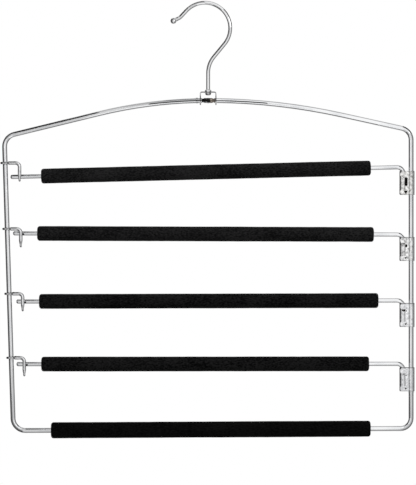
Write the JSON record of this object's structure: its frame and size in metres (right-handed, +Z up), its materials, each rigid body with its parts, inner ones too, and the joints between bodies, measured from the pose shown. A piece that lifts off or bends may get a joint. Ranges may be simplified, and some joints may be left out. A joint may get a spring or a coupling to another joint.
{
  "type": "multi tier trouser hanger",
  "caption": "Wire trouser hanger: swivelling hook, arched frame, foam-padded arms that swing out on sheet hinges and rest behind wire catches.",
  "frame": {"origin": "centre of the hook's crook, where the wardrobe rail passes", "axes": "+Z up along the hook's stem, +X to the right towards the hinged side, -Y towards the viewer and +Y the way the arms swing out"},
  "size_m": [0.3828, 0.0148, 0.4047],
  "materials": {
    "chrome_wire": "bright plated, polished",
    "pressed_steel": "bright plated sheet, slightly uneven from pressing",
    "black_foam": "matt black foam with a fine skin"
  },
  "bodies": {
    "hook": {"hook": "chrome_wire"},
    "frame": {"frame_wire": "chrome_wire", "hook_saddle": "pressed_steel", "bottom_bar_sleeve": "black_foam", "arm_catch_1": "chrome_wire", "arm_catch_2": "chrome_wire", "arm_catch_3": "chrome_wire", "arm_catch_4": "chrome_wire"},
    "arm_1": {"arm_wire_1": "chrome_wire", "arm_sleeve_1": "black_foam", "hinge_bracket_1": "pressed_steel"},
    "arm_2": {"arm_wire_2": "chrome_wire", "arm_sleeve_2": "black_foam", "hinge_bracket_2": "pressed_steel"},
    "arm_3": {"arm_wire_3": "chrome_wire", "arm_sleeve_3": "black_foam", "hinge_bracket_3": "pressed_steel"},
    "arm_4": {"arm_wire_4": "chrome_wire", "arm_sleeve_4": "black_foam", "hinge_bracket_4": "pressed_steel"}
  },
  "joints": [
    {"name": "hook_swivel", "type": "hinge", "parent": "hook", "child": "frame", "pos_m": [0.003, 0, -0.0595], "axis": [0, 0, 1], "continuous": true},
    {"name": "arm_1_swing", "type": "hinge", "parent": "frame", "child": "arm_1", "pos_m": [0.1907, 0, -0.1426], "axis": [0, 0, -1], "range_deg": [0, 180]},
    {"name": "arm_2_swing", "type": "hinge", "parent": "frame", "child": "arm_2", "pos_m": [0.1907, 0, -0.2044], "axis": [0, 0, -1], "range_deg": [0, 180]},
    {"name": "arm_3_swing", "type": "hinge", "parent": "frame", "child": "arm_3", "pos_m": [0.1907, 0, -0.2654], "axis": [0, 0, -1], "range_deg": [0, 180]},
    {"name": "arm_4_swing", "type": "hinge", "parent": "frame", "child": "arm_4", "pos_m": [0.1907, 0, -0.3249], "axis": [0, 0, -1], "range_deg": [0, 180]}
  ]
}
